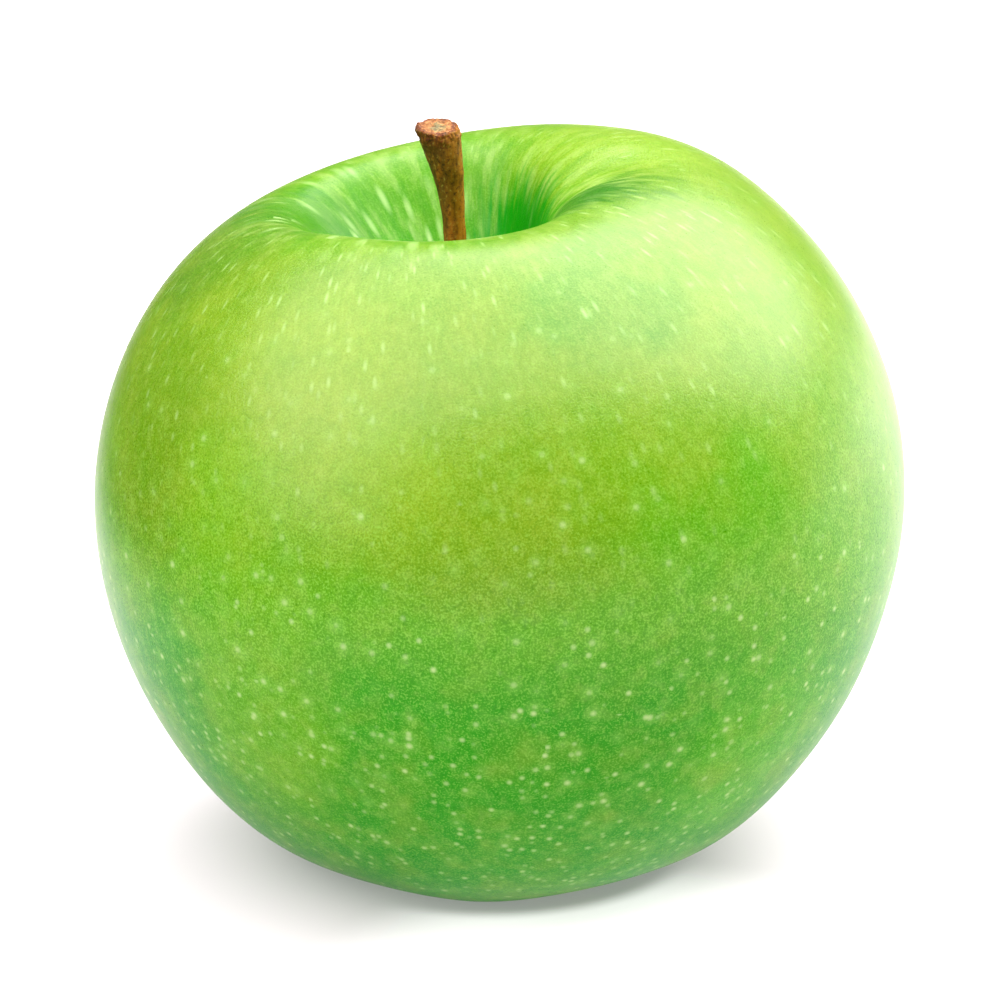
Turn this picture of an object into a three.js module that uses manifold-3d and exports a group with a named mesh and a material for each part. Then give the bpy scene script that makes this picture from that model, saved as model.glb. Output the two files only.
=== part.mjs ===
// Green apple standing on the low feet around its calyx basin.
// Millimetres, +Z up, +X right, -Y front, resting on the plane z = 0.
//
//   fruit           one grown body: skin, stem cavity, calyx basin, calyx tube and stem socket
//   stem            woody stalk rising from the bottom of the cavity, torn off the spur at its head
//   calyx_sepals    dried ring and five dried sepals in the basin
//   calyx_stamens   dried stamens in the calyx tube
//
// The fruit is a lathed half-section whose rings are then pushed out of round, leaned and lifted
// by smooth formulas of azimuth and height, because an apple is never a true body of revolution.

import * as THREE from 'three';
import { mergeVertices } from 'three/addons/utils/BufferGeometryUtils.js';
import Module from 'manifold-3d';

const wasm = await Module();
wasm.setup();

const TAU = Math.PI * 2;
const deg = THREE.MathUtils.degToRad;
const GOLDEN_TURN = deg(137.5);

// ---- driving dimensions -------------------------------------------------------------------

const clearance = 0.3; // gap kept between neighbouring pieces
const weldDistance = 1e-4; // corners closer than this are one corner

const section = { // half-section of the fruit before it is pushed out of round
  cheekRadius: 40, cheekHeight: 37, // widest ring
  footRadius: 14.8, // lowest ring
  crestRadius: 17.7, crestHeight: 67.7, // rounded shoulder round the cavity
  throatRadius: 11, throatDrop: 5.7, throatSlope: 1.2, // steepest part of the cavity wall
  cavityDepth: 14, // crest to cavity floor
  basinDepth: 8, basinFloorRadius: 4.7, // foot to basin floor, and its flat middle
};

const fullness = { // lengths of the section's curve handles, as shares of the way each curve goes
  foot: 0.435, lowerCheek: 0.5, upperCheek: 0.553, crest: 0.412,
  crestInside: 0.4, throat: 0.33, cavityWall: 0.4, cavityFloor: 0.3,
};
const basinCurve = { floorHandle: 0.57, footHandle: 0.6 }; // radii of its two handles, in foot radii

const outOfRound = {
  sideBulge: 0.022, sideBulgeAtCrest: 0.093, // the right side is the fatter one
  threeLobed: -0.013, // faint rounded triangle in plan
  crestLean: -5.35, leanPower: 3, // the shoulder and cavity sit left of the middle
  shoulderTilt: [0.139, 0.029], // the shoulder climbs to the right and a little to the back
  saddle: 0.6, saddleTurn: deg(48), // two-fold and three-fold wave of the shoulder, heights at waveRadius
  ripple: 0.19, rippleTurn: deg(4),
  waveRadius: 20,
  localPower: 8, // how closely the hollows and the pinch keep to the shoulder or to the foot
};

const hollows = [ // where they lie, how far round and across they reach, how far they push the skin
  { turn: deg(3), spread: deg(14), radius: 13.5, width: 5.5, push: -2, onTop: true }, // fold in the shoulder
  { turn: deg(-50), spread: deg(38), radius: 20, width: 7, push: 0.7, onTop: false }, // front right underside
];

const pinch = { // the cavity's right wall stands further in
  turn: deg(15), spread: deg(60), radius: 10.5, width: 5, share: 0.42,
};

const feet = { // five low lobes round the basin; their undersides are flat
  count: 5, turn: deg(-90),
  sink: 0.45, // how much of a lobe's tip is flattened away
  arch: 0.8, fade: 7, // rise of the edge between two lobes, and how soon it fades inward and outward
  rib: 0.004, ribFade: 22, // the lobes run on up the lower cheek as faint ribs
};

const socket = { radius: 1.65, depth: 2.6 }; // where the stem leaves the flesh
const tube = { radius: 2.4, depth: 5 }; // calyx tube above the basin floor

const stem = {
  length: 22.6,
  baseRadius: 1.3, neckRadius: 1.1, headRadius: 2.12,
  neckAt: 0.35, flareFrom: 0.62, // shares of the length
  swayAt: [0.5, 0.76, 1], sway: [-0.55, -1.1, -2.3], // sideways from the socket at these shares
  headSlope: [-0.27, 0.2], headBlend: 4, // the torn end is level from side to side and faces the front
  ribs: 3, ribHeight: 0.03, headRibHeight: 0.05, ribTwist: 5, // low ribs that wind round the stalk
  flatness: 0.92, // front to back against side to side
};

const sepals = {
  count: 5, length: 6.2, halfWidth: 1.35, halfThickness: 0.34,
  outward: [0, -0.9, -0.5, 1.6], drop: [0.06, 0.4, 0.66, 0.85], // mm from the ring, shares of the length
  taper: 1.6, tipWidth: 0.22, // the outline's fullness, and the tip's share of the width
  unevenness: 0.12,
  ringRadius: 3.5, ringHalfWidth: 0.7, ringHeight: 0.9,
};

const stamens = {
  count: 9, length: 5.2, radius: 0.32, standRadius: 1.25,
  rooted: 0.3, lean: -0.2, splay: 0.45, unevenness: 0.15, // in the disc, at half length, at the tip
  discHeight: 0.8,
};

const fineness = { // steps along each piece and round it
  rings: 42, turns: 72,
  stemSteps: 16, stemSides: 16,
  ringSides: 30, sepalSteps: 8, sepalSides: 10,
  discSides: 24, stamenSteps: 4, stamenSides: 8,
};

// ---- solids --------------------------------------------------------------------------------

/** The closed mesh with shared corners that a boolean needs. */
function toSolid(geometry) {
  const bare = geometry.clone();
  bare.deleteAttribute('normal');
  bare.deleteAttribute('uv');
  const merged = mergeVertices(bare, weldDistance);
  const corners = merged.index.array;
  const kept = [];
  for (let i = 0; i < corners.length; i += 3) {
    const [a, b, c] = corners.slice(i, i + 3);
    if (a !== b && b !== c && c !== a) kept.push(a, b, c);
  }
  return new wasm.Manifold(new wasm.Mesh({
    numProp: 3,
    vertProperties: new Float32Array(merged.attributes.position.array),
    triVerts: new Uint32Array(kept),
  }));
}

function toGeometry(solid) {
  const { vertProperties, triVerts, numProp } = solid.getMesh();
  const geometry = new THREE.BufferGeometry();
  const positions = [];
  for (let i = 0; i < vertProperties.length; i += numProp) {
    positions.push(vertProperties[i], vertProperties[i + 1], vertProperties[i + 2]);
  }
  geometry.setAttribute('position', new THREE.Float32BufferAttribute(positions, 3));
  geometry.setIndex(new THREE.BufferAttribute(triVerts, 1));
  geometry.computeVertexNormals();
  return geometry;
}

/** A lathed body standing on +Z, from a profile of [radius, height] points. */
function lathe(profile, turns) {
  const points = profile.map(([radius, height]) => new THREE.Vector2(radius, height));
  return new THREE.LatheGeometry(points, turns).rotateX(Math.PI / 2);
}

/** An unevenness between -1 and 1 for one of several like parts. */
const uneven = (number) => Math.cos(number * GOLDEN_TURN);

/** Moves every corner of a geometry to move(corner). */
function reshape(geometry, move) {
  const position = geometry.attributes.position;
  const corner = new THREE.Vector3();
  for (let i = 0; i < position.count; i++) {
    corner.fromBufferAttribute(position, i);
    move(corner);
    position.setXYZ(i, corner.x, corner.y, corner.z);
  }
  geometry.computeVertexNormals();
  return geometry;
}

/** A closed rod along a curve. size(t, turn) gives [across, through] half sizes at the share t. */
function rod(curve, across, size, steps, sides) {
  const profile = [[0, 0]];
  for (let i = 0; i <= steps; i++) profile.push([1, i / steps]);
  profile.push([0, 1]);
  return reshape(lathe(profile, sides), (corner) => {
    const share = THREE.MathUtils.clamp(corner.z, 0, 1);
    const centre = curve.getPoint(share);
    const along = curve.getTangent(share);
    const through = new THREE.Vector3().crossVectors(along, across).normalize();
    const side = new THREE.Vector3().crossVectors(through, along).normalize();
    const [halfAcross, halfThrough] = size(share, Math.atan2(corner.y, corner.x));
    const { x, y } = corner;
    corner.copy(centre).addScaledVector(side, x * halfAcross).addScaledVector(through, y * halfThrough);
  });
}

// ---- fruit ---------------------------------------------------------------------------------

const cavityFloor = section.crestHeight - section.cavityDepth; // before the sinking of the feet

/** Half-section from the top of the calyx tube, round the outside, to the bottom of the socket. */
function fruitProfile() {
  const { cheekRadius, cheekHeight, footRadius, crestRadius, crestHeight } = section;
  const { throatRadius, throatDrop, throatSlope, basinDepth, basinFloorRadius } = section;
  const outside = new THREE.Path();
  outside.moveTo(tube.radius, basinDepth);
  outside.lineTo(basinFloorRadius, basinDepth);
  outside.bezierCurveTo(
    basinCurve.floorHandle * footRadius, basinDepth,
    basinCurve.footHandle * footRadius, 0,
    footRadius, 0,
  );
  outside.bezierCurveTo(
    footRadius + fullness.foot * (cheekRadius - footRadius), 0,
    cheekRadius, cheekHeight * (1 - fullness.lowerCheek),
    cheekRadius, cheekHeight,
  );
  outside.bezierCurveTo(
    cheekRadius, cheekHeight + fullness.upperCheek * (crestHeight - cheekHeight),
    crestRadius + fullness.crest * (cheekRadius - crestRadius), crestHeight,
    crestRadius, crestHeight,
  );
  const crest = new THREE.Vector2(crestRadius, crestHeight);
  const throat = new THREE.Vector2(throatRadius, crestHeight - throatDrop);
  const floor = new THREE.Vector2(socket.radius, cavityFloor);
  const inward = new THREE.Vector2(-1, -throatSlope).normalize();
  const aboveThroat = throat.clone().addScaledVector(inward, -fullness.throat * throat.distanceTo(crest));
  const belowThroat = throat.clone().addScaledVector(inward, fullness.cavityWall * throat.distanceTo(floor));
  outside.bezierCurveTo(
    crestRadius - fullness.crestInside * throat.distanceTo(crest), crestHeight,
    aboveThroat.x, aboveThroat.y,
    throat.x, throat.y,
  );
  outside.bezierCurveTo(
    belowThroat.x, belowThroat.y,
    floor.x + fullness.cavityFloor * throatRadius, floor.y,
    floor.x, floor.y,
  );
  return [
    [0, basinDepth + tube.depth],
    [tube.radius, basinDepth + tube.depth],
    ...outside.getSpacedPoints(fineness.rings).map(({ x, y }) => [x, y]),
    [socket.radius, cavityFloor - socket.depth],
    [0, cavityFloor - socket.depth],
  ];
}

/** How far the fruit's axis has leaned sideways at a height. */
function leanAt(height) {
  const up = THREE.MathUtils.clamp(height / section.crestHeight, 0, 1);
  return outOfRound.crestLean * up ** outOfRound.leanPower;
}

const bell = (offset, width) => Math.exp(-((offset / width) ** 2));

/** How strongly a local feature works at a turn and a radius: 1 in its middle, fading to 0. */
function strengthAt(turn, round, feature) {
  const offTurn = Math.atan2(Math.sin(turn - feature.turn), Math.cos(turn - feature.turn));
  return bell(offTurn, feature.spread) * bell(round - feature.radius, feature.width);
}

/** Takes a corner of the round fruit to its place on the grown one. */
function growOutOfRound(corner) {
  const turn = Math.atan2(corner.y, corner.x);
  const round = Math.hypot(corner.x, corner.y);
  const height = corner.z;
  const up = THREE.MathUtils.clamp(height / section.crestHeight, 0, 1);
  const onShoulder = up ** outOfRound.localPower;
  const onFoot = (1 - up) ** outOfRound.localPower;

  const footWave = Math.cos(feet.count * (turn - feet.turn));
  const bulge = THREE.MathUtils.lerp(outOfRound.sideBulge, outOfRound.sideBulgeAtCrest, up);
  const girth = 1
    + bulge * Math.cos(turn)
    + outOfRound.threeLobed * Math.cos(3 * turn)
    + feet.rib * footWave * bell(height, feet.ribFade);
  const pinched = 1 - pinch.share * onShoulder * strengthAt(turn, round, pinch);
  const radius = round * girth * pinched;

  const [tiltRight, tiltBack] = outOfRound.shoulderTilt;
  const shoulder = up ** 2 * (
    round * girth * (tiltRight * Math.cos(turn) + tiltBack * Math.sin(turn))
    + (round / outOfRound.waveRadius) * (
      outOfRound.saddle * Math.cos(2 * (turn - outOfRound.saddleTurn))
      + outOfRound.ripple * Math.cos(3 * (turn - outOfRound.rippleTurn))
    )
  );
  let hollowed = 0;
  for (const hollow of hollows) {
    const nearness = hollow.onTop ? onShoulder : onFoot;
    hollowed += hollow.push * nearness * strengthAt(turn, round, hollow);
  }
  const betweenLobes = (1 - footWave) / 2;
  const arch = feet.arch * betweenLobes * bell(round - section.footRadius, feet.fade) * (1 - up) ** 2;

  corner.x = radius * Math.cos(turn) + leanAt(height);
  corner.y = radius * Math.sin(turn);
  corner.z = height + shoulder + hollowed + arch - feet.sink;
}

/** The fruit, with the undersides of its feet flattened where it rests. */
function fruitGeometry() {
  const grown = toSolid(reshape(lathe(fruitProfile(), fineness.turns), growOutOfRound));
  const size = 4 * section.cheekRadius;
  const aboveFloor = toSolid(new THREE.BoxGeometry(size, size, size).translate(0, 0, size / 2));
  return toGeometry(grown.intersect(aboveFloor));
}

// ---- stem ----------------------------------------------------------------------------------

/** A stalk that thins to a neck, then flares to the torn head. */
function stemGeometry() {
  const start = cavityFloor - socket.depth - feet.sink + clearance;
  const exit = new THREE.Vector3(leanAt(cavityFloor), 0, cavityFloor - feet.sink);
  const swayed = stem.swayAt.map((share, i) => (
    new THREE.Vector3(exit.x + stem.sway[i], 0, start + share * stem.length)
  ));
  const base = new THREE.Vector3(leanAt(start), 0, start);
  const centreline = new THREE.CatmullRomCurve3([base, exit, ...swayed]);
  const sizeAt = (share, turn) => {
    const foot = 1 - THREE.MathUtils.smoothstep(share, 0, stem.neckAt);
    const flare = THREE.MathUtils.smoothstep(share, stem.flareFrom, 1);
    const plain = stem.neckRadius
      + foot * (stem.baseRadius - stem.neckRadius)
      + flare * (stem.headRadius - stem.neckRadius);
    const ribbed = 1 + (stem.ribHeight + stem.headRibHeight * flare)
      * Math.cos(stem.ribs * turn + stem.ribTwist * share);
    return [plain * ribbed, plain * ribbed * stem.flatness];
  };
  const acrossX = new THREE.Vector3(1, 0, 0);
  const stalk = rod(centreline, acrossX, sizeAt, fineness.stemSteps, fineness.stemSides);
  const head = centreline.getPoint(1);
  const [slopeRight, slopeBack] = stem.headSlope;
  return reshape(stalk, (corner) => {
    const nearHead = THREE.MathUtils.smoothstep(corner.z, head.z - stem.headBlend, head.z);
    corner.z += nearHead * (slopeRight * (corner.x - head.x) + slopeBack * (corner.y - head.y));
  });
}

// ---- calyx ---------------------------------------------------------------------------------

/** Five dried sepals on a thin ring: they close over the tube and their tips roll outward. */
function sepalsGeometry() {
  const { ringRadius, ringHalfWidth, ringHeight, length } = sepals;
  const top = section.basinDepth - feet.sink - clearance;
  let solid = toSolid(lathe([
    [ringRadius - ringHalfWidth, top - ringHeight],
    [ringRadius + ringHalfWidth, top - ringHeight],
    [ringRadius + ringHalfWidth, top],
    [ringRadius - ringHalfWidth, top],
    [ringRadius - ringHalfWidth, top - ringHeight],
  ], fineness.ringSides));
  for (let i = 0; i < sepals.count; i++) {
    const turn = feet.turn + (TAU * (i + 0.5)) / sepals.count;
    const outward = new THREE.Vector3(Math.cos(turn), Math.sin(turn), 0);
    const across = new THREE.Vector3(-outward.y, outward.x, 0);
    const curve = new THREE.CatmullRomCurve3(sepals.drop.map((share, row) => {
      const freeEnd = row / (sepals.drop.length - 1);
      const reach = length * (1 + sepals.unevenness * uneven(i) * freeEnd);
      return outward.clone().multiplyScalar(ringRadius + sepals.outward[row]).setZ(top - share * reach);
    }));
    const size = (share) => {
      const width = Math.max(Math.sqrt(1 - share ** sepals.taper), sepals.tipWidth);
      return [sepals.halfWidth * width, sepals.halfThickness];
    };
    solid = solid.add(toSolid(rod(curve, across, size, fineness.sepalSteps, fineness.sepalSides)));
  }
  return toGeometry(solid);
}

/** A tuft of dried stamens standing on the disc that closes the calyx tube. */
function stamensGeometry() {
  const { standRadius, rooted, lean, splay, radius } = stamens;
  const top = section.basinDepth + tube.depth - feet.sink - clearance;
  const discRadius = tube.radius - clearance;
  let solid = toSolid(lathe([
    [0, top - stamens.discHeight],
    [discRadius, top - stamens.discHeight],
    [discRadius, top],
    [0, top],
  ], fineness.discSides));
  for (let i = 0; i < stamens.count; i++) {
    const turn = (TAU * i) / stamens.count;
    const length = stamens.length * (1 - stamens.unevenness * (1 - uneven(i)) / 2);
    const outward = new THREE.Vector3(Math.cos(turn), Math.sin(turn), 0);
    const place = (distance, drop) => outward.clone().multiplyScalar(distance).setZ(top - drop);
    const curve = new THREE.CatmullRomCurve3([
      place(standRadius, rooted),
      place(standRadius + lean, length / 2),
      place(standRadius + lean + splay * uneven(2 * i), length),
    ]);
    const size = () => [radius, radius];
    const acrossY = new THREE.Vector3(0, 1, 0);
    solid = solid.add(toSolid(rod(curve, acrossY, size, fineness.stamenSteps, fineness.stamenSides)));
  }
  return toGeometry(solid);
}

// ---- the apple -----------------------------------------------------------------------------

const skin = new THREE.MeshStandardMaterial({ color: 0x6cc23a, roughness: 0.38, metalness: 0 });
const bark = new THREE.MeshStandardMaterial({ color: 0x6b4a24, roughness: 0.8, metalness: 0 });
const driedLeaf = new THREE.MeshStandardMaterial({ color: 0x5c4a30, roughness: 0.9, metalness: 0 });
const driedThread = new THREE.MeshStandardMaterial({ color: 0x4a3826, roughness: 0.9, metalness: 0 });

const apple = new THREE.Group();
const pieces = [
  ['fruit', fruitGeometry(), skin],
  ['stem', stemGeometry(), bark],
  ['calyx_sepals', sepalsGeometry(), driedLeaf],
  ['calyx_stamens', stamensGeometry(), driedThread],
];
for (const [name, geometry, material] of pieces) {
  const mesh = new THREE.Mesh(geometry, material);
  mesh.name = name;
  apple.add(mesh);
}

// The origin is under the middle of the whole apple, on the plane it rests on.
const middle = new THREE.Box3().setFromObject(apple, true).getCenter(new THREE.Vector3());
apple.position.set(-middle.x, -middle.y, 0);

export default apple;
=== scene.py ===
import math
import random

import bpy
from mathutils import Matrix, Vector


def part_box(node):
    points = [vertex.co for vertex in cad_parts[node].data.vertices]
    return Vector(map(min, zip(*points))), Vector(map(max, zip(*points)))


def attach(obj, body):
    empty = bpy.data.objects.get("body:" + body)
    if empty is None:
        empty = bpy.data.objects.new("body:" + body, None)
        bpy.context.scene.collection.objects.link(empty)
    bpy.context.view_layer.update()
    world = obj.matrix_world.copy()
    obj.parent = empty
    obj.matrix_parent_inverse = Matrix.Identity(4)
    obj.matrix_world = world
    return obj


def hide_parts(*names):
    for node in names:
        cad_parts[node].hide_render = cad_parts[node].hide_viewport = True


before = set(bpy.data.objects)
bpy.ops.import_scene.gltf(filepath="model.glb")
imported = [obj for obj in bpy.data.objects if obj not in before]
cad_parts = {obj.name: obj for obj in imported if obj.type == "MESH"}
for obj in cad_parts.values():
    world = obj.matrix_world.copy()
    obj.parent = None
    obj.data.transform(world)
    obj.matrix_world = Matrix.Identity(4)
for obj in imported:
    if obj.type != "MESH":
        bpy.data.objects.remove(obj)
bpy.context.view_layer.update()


# ---------------------------------------------------------------------------------------------
# Camera: a long lens half a metre away, looking down on the apple at a low angle. Its focal length
# is worked out from how large a millimetre of the apple is drawn.
# ---------------------------------------------------------------------------------------------

mm = 0.001
camera_distance = 500 * mm
camera_elevation = math.radians(18)
camera_target = Vector((0.1 * mm, 0, 35.53 * mm))
nearest_seen = 10 * mm
farthest_seen = 20  # metres
pixels_per_mm = 10.122  # at the target
picture_width = 1000  # pixels
sensor_width = 36  # mm

bpy.ops.object.select_all(action="DESELECT")
towards_camera = Vector((0, -math.cos(camera_elevation), math.sin(camera_elevation)))
bpy.ops.object.camera_add(location=camera_target + camera_distance * towards_camera)
camera = bpy.context.object
camera.rotation_euler = (-towards_camera).to_track_quat("-Z", "Y").to_euler()
camera.data.sensor_width = sensor_width
camera.data.lens = sensor_width * pixels_per_mm * (camera_distance / mm) / picture_width
camera.data.clip_start = nearest_seen
camera.data.clip_end = farthest_seen
bpy.context.scene.camera = camera


# ---------------------------------------------------------------------------------------------
# Studio: a sheet of white acrylic under one long softbox that hangs close overhead with its right
# end turned back. A small softbox stands low at the left and a white card at the right. The room
# is dim. The sheet glows as if lit from below, a painted glow with a painted pool of light in front
# of the apple; the glow ends a hand's breadth left of the apple, and past it the sheet is painted dark.
# ---------------------------------------------------------------------------------------------

softbox_places = ((-0.68, -0.31, 0.70), (0.85, 0.46, 0.70))  # metres, as everywhere here; its two halves
softbox_sizes = ((1.72, 1.02), (1.72, 1.15))
softbox_radiances = (4.7, 6.4)
softbox_turn = math.radians(25)
low_box_place = (-0.68, -0.42, 0.20)
low_box_size = (0.45, 0.24)
low_box_radiance = 4.0
card_place = (0.42, 0.20, 0.06)
card_facing = (-0.42, -0.20, 0)
card_size = (0.40, 0.16)
card_radiance = 2.2
room_radiance = 0.15
table_size = 12
table_colour = "#CEC3C9"
painted_dark_edge_colour = "#2E2E2E"
painted_table_glow = 0.25
table_edge = (-0.15, -0.07)  # sideways places between which the white ends
# the pool is painted light: glow painted into the sheet round the fruit's front, so its shadow stays narrow
pool_middle = (-0.001, 0, 0)  # a pool of light lies on the sheet round this place
pool_side = (0.35, -0.94, 0)  # the way from there in which it is brightest
pool_spread = (0.6, 1.0)  # cosines of the angle to that way, over which it comes up
pool_start = (0.0194, 0.0226)  # distances from the middle over which it comes up
pool_end = (0.046, 0.032)  # and over which it fades
painted_pool_glow = 0.52


def linear(hex_colour):
    """An sRGB hex colour as linear RGBA."""
    parts = [int(hex_colour[i:i + 2], 16) / 255 for i in (1, 3, 5)]
    return tuple(c / 12.92 if c <= 0.04045 else ((c + 0.055) / 1.055) ** 2.4 for c in parts) + (1.0,)


def add_node(tree, kind, inputs=None, **settings):
    """Adds a node with its settings. Each input is given a value, or another node's socket to link."""
    node = tree.nodes.new(kind)
    for name, value in settings.items():
        setattr(node, name, value)
    for socket, value in (inputs or {}).items():
        if isinstance(value, bpy.types.NodeSocket):
            tree.links.new(value, node.inputs[socket])
        else:
            node.inputs[socket].default_value = value
    return node


def panel(name, place, facing, turn, size, radiance):
    """A rectangular light at a place, facing a direction, turned about it."""
    bpy.ops.object.light_add(type="AREA", location=place)
    light = bpy.context.object
    light.name = name
    light.rotation_euler = (-Vector(facing)).to_track_quat("Z", "Y").to_euler()
    light.rotation_euler.z += turn
    light.data.shape = "RECTANGLE"
    light.data.size, light.data.size_y = size
    light.data.energy = radiance * math.pi * size[0] * size[1]


for side, place, size, radiance in zip(("left", "right"), softbox_places, softbox_sizes, softbox_radiances):
    panel(side + "_overhead_softbox", place, (0, 0, -1), softbox_turn, size, radiance)
panel("low_left_softbox", low_box_place, -Vector(low_box_place), 0, low_box_size, low_box_radiance)
panel("white_card", card_place, card_facing, 0, card_size, card_radiance)

room = bpy.data.worlds.new("dim_room")
room.use_nodes = True
room.node_tree.nodes["Background"].inputs["Color"].default_value = (1, 1, 1, 1)
room.node_tree.nodes["Background"].inputs["Strength"].default_value = room_radiance
bpy.context.scene.world = room
bpy.context.scene.view_settings.view_transform = "Standard"


def acrylic_with_painted_glow():
    """Matt white acrylic with a painted glow and a painted pool of light, and painted dark past its edge."""
    material = bpy.data.materials.new("acrylic_with_painted_glow")
    material.use_nodes = True
    tree = material.node_tree
    surface = tree.nodes["Principled BSDF"]
    place = add_node(tree, "ShaderNodeTexCoord").outputs["Object"]
    # painted shade: past the table's edge the sheet is painted dark and its painted glow stops
    across = add_node(tree, "ShaderNodeSeparateXYZ", {0: place}).outputs["X"]
    lit = add_node(tree, "ShaderNodeMapRange", {0: across, 1: table_edge[0], 2: table_edge[1]},
                   interpolation_type="SMOOTHSTEP").outputs[0]
    shades = {0: lit, 6: linear(painted_dark_edge_colour), 7: linear(table_colour)}
    colour = add_node(tree, "ShaderNodeMix", shades, data_type="RGBA").outputs[2]
    glow = add_node(tree, "ShaderNodeMath", {0: lit, 1: painted_table_glow}, operation="MULTIPLY").outputs[0]

    # painted pool of light: glow in the sheet leaves only a narrow contact shadow in front of the fruit
    offset = add_node(tree, "ShaderNodeVectorMath", {0: place, 1: pool_middle},
                      operation="SUBTRACT").outputs[0]
    far = add_node(tree, "ShaderNodeVectorMath", {0: offset}, operation="LENGTH").outputs["Value"]
    way = add_node(tree, "ShaderNodeVectorMath", {0: offset}, operation="NORMALIZE").outputs[0]
    facing = add_node(tree, "ShaderNodeVectorMath", {0: way, 1: pool_side},
                      operation="DOT_PRODUCT").outputs["Value"]
    pool = painted_pool_glow
    for value, (start, end) in ((far, pool_start), (far, pool_end), (facing, pool_spread)):
        factor = add_node(tree, "ShaderNodeMapRange", {0: value, 1: start, 2: end},
                          interpolation_type="SMOOTHSTEP").outputs[0]
        pool = add_node(tree, "ShaderNodeMath", {0: factor, 1: pool}, operation="MULTIPLY").outputs[0]
    glow = add_node(tree, "ShaderNodeMath", {0: glow, 1: pool}, operation="ADD").outputs[0]

    tree.links.new(colour, surface.inputs["Base Color"])
    tree.links.new(glow, surface.inputs["Emission Strength"])
    surface.inputs["Emission Color"].default_value = (1, 1, 1, 1)
    surface.inputs["Roughness"].default_value = 0.9
    surface.inputs["Specular IOR Level"].default_value = 0.0
    return material


bpy.ops.mesh.primitive_plane_add(size=table_size, location=(0, 0, 0))
table = bpy.context.object
table.name = "table_top"
table.data.materials.append(acrylic_with_painted_glow())


# ---------------------------------------------------------------------------------------------
# Fruit: flesh under a thin waxed skin, grown as one body. The cavity holds the stem, and five low
# lobes round the calyx basin carry it.
# ---------------------------------------------------------------------------------------------

weld_distance = 0.01 * mm
swelling_size, swelling_height = 14 * mm, 0.25 * mm  # the soft unevenness of the flesh


def subdivide_smoothly(piece, levels):
    """Rounds a piece with an applied subdivision surface."""
    rounding = piece.modifiers.new("rounding", "SUBSURF")
    rounding.levels = levels
    rounding.render_levels = levels
    bpy.ops.object.modifier_apply(modifier=rounding.name)


def displace(piece, name, size, height, detail=2, group=""):
    """Raises a piece's surface by soft noise of that grain size, and applies it."""
    texture = bpy.data.textures.new(name, "CLOUDS")
    texture.noise_scale = size
    texture.noise_depth = detail
    relief = piece.modifiers.new(name, "DISPLACE")
    relief.texture = texture
    relief.strength = height
    relief.mid_level = 0.5
    relief.vertex_group = group
    bpy.ops.object.modifier_apply(modifier=relief.name)


fruit = bpy.data.objects.new("fruit_skin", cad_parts["fruit"].data.copy())
bpy.context.collection.objects.link(fruit)
bpy.ops.object.select_all(action="DESELECT")
fruit.select_set(True)
bpy.context.view_layer.objects.active = fruit
bpy.ops.object.mode_set(mode="EDIT")
bpy.ops.mesh.select_all(action="SELECT")
bpy.ops.mesh.remove_doubles(threshold=weld_distance)
bpy.ops.mesh.tris_convert_to_quads()
bpy.ops.object.mode_set(mode="OBJECT")
subdivide_smoothly(fruit, 2)
displace(fruit, "swellings", swelling_size, swelling_height, detail=0)
for corner in fruit.data.vertices:
    corner.co.z = max(corner.co.z, 0)  # the lobes stay on the table
bpy.ops.object.shade_smooth()


def lay_over(tree, colour, shade, pattern, start, end, share=1.0, held_by=None, edge="LINEAR"):
    """Lays a shade over a colour, more of it as a pattern goes from start to end, up to a share."""
    amount = add_node(tree, "ShaderNodeMapRange", {0: pattern, 1: start, 2: end, 3: 0.0, 4: share},
                      interpolation_type=edge).outputs[0]
    if held_by is not None:
        amount = add_node(tree, "ShaderNodeMath", {0: amount, 1: held_by}, operation="MULTIPLY").outputs[0]
    return add_node(tree, "ShaderNodeMix", {0: amount, 6: colour, 7: linear(shade)},
                    data_type="RGBA").outputs[2]


def reaches_from(tree, place, middle, reach):
    """How far a place is from a patch's middle, as a share of its reach along X, Y and Z; both in mm."""
    offset = add_node(tree, "ShaderNodeVectorMath", {0: place, 1: mm * Vector(middle)},
                      operation="SUBTRACT").outputs[0]
    scaled = add_node(tree, "ShaderNodeVectorMath", {0: offset, 1: mm * Vector(reach)},
                      operation="DIVIDE").outputs[0]
    return add_node(tree, "ShaderNodeVectorMath", {0: scaled}, operation="LENGTH").outputs["Value"]


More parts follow.
